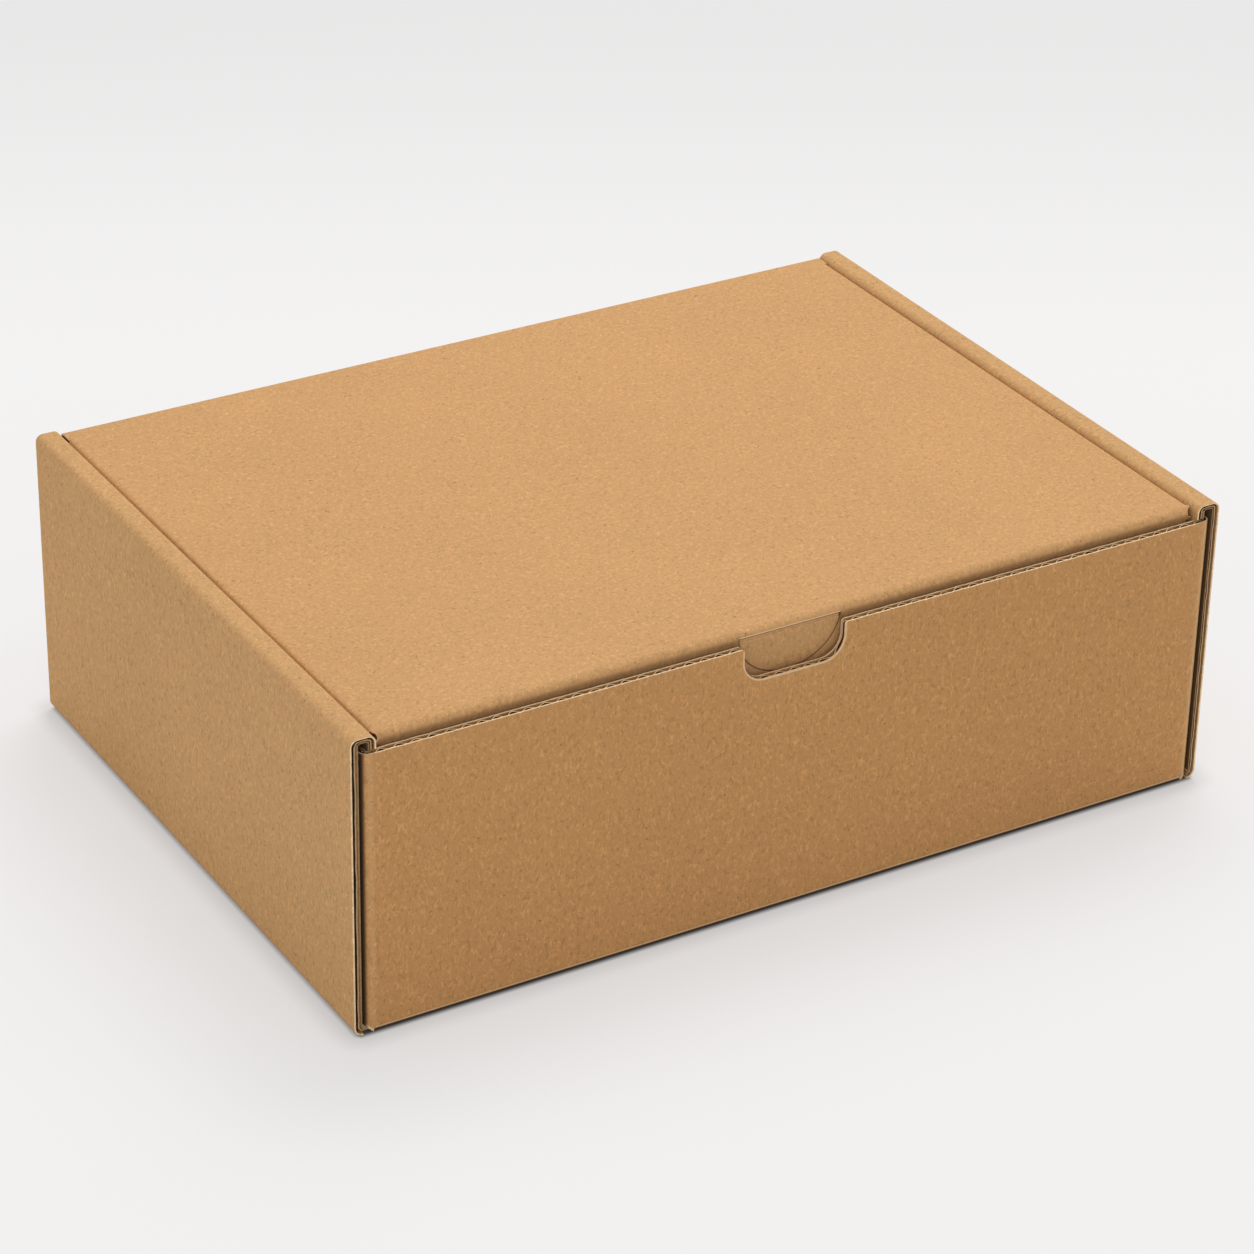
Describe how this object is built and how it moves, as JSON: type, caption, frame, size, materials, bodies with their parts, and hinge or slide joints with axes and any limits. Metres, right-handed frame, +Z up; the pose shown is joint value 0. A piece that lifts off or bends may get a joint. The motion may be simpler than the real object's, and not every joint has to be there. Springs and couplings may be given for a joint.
{
  "type": "corrugated shipping box",
  "caption": "Shallow folded carton of brown corrugated board with double side walls, a thumb notch in the front wall and a hinged lid that tucks in.",
  "frame": {"origin": "middle of the footprint, on the floor", "axes": "+X to the right along the front wall, +Y from the front wall to the hinge at the back, +Z up"},
  "size_m": [0.35, 0.252, 0.115],
  "materials": {
    "kraft_board_walls": "matt uncoated kraft liner",
    "kraft_board_lid": "matt uncoated kraft liner"
  },
  "bodies": {
    "tray": {"box_tray": "kraft_board_walls"},
    "lid": {"box_lid": "kraft_board_lid"}
  },
  "joints": [
    {"name": "lid_hinge", "type": "hinge", "parent": "tray", "child": "lid", "pos_m": [0, 0.126, 0.1138], "axis": [-1, 0, 0], "range_deg": [0, 175]}
  ]
}
